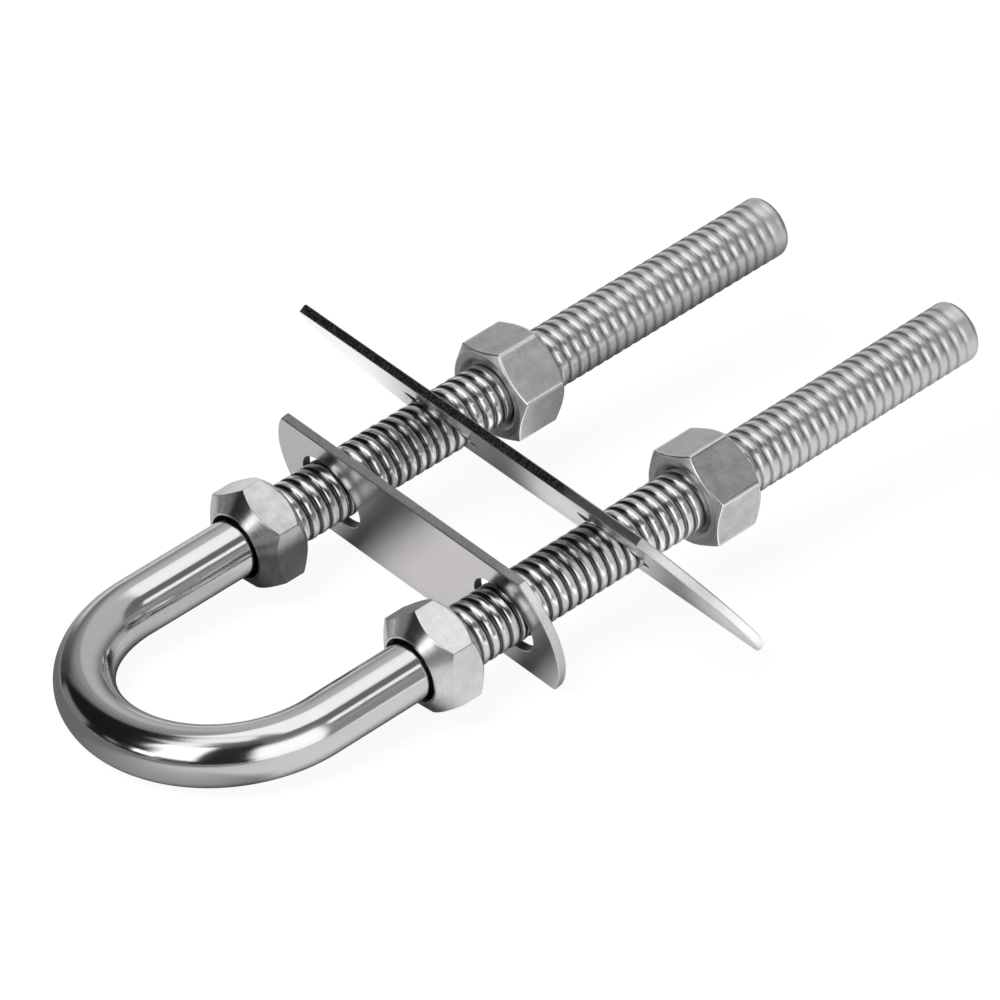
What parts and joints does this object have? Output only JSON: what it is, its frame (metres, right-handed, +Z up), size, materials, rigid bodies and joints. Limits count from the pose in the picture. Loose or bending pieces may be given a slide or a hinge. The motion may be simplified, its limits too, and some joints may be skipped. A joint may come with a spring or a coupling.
{
  "type": "stern eye",
  "caption": "U-shaped stainless eye with threaded legs, coned collar nuts, an outer plate, a larger backing plate and hex nuts, for bolting through a boat's transom.",
  "frame": {"origin": "on the ground that the part rests on, in the middle of its bounding box", "axes": "+X from the eye to the tips of the legs, level; +Y to the left leg; +Z up. The legs themselves rise 7.10 degrees towards the tips, because the backing plate's lower edge props that end up"},
  "size_m": [0.1838, 0.116, 0.0349],
  "materials": {
    "polished_steel": "mirror-polished stainless steel rod with rolled threads",
    "turned_steel": "bright turned stainless steel with fine tool lines",
    "nut_steel": "satin stainless steel",
    "sheet_steel": "satin rolled sheet with broken edges"
  },
  "bodies": {
    "root": {"u_bolt": "polished_steel", "collar_nut_left": "turned_steel", "collar_nut_right": "turned_steel", "outer_plate": "sheet_steel", "backing_plate": "sheet_steel", "hex_nut_left": "nut_steel", "hex_nut_right": "nut_steel"}
  },
  "joints": []
}
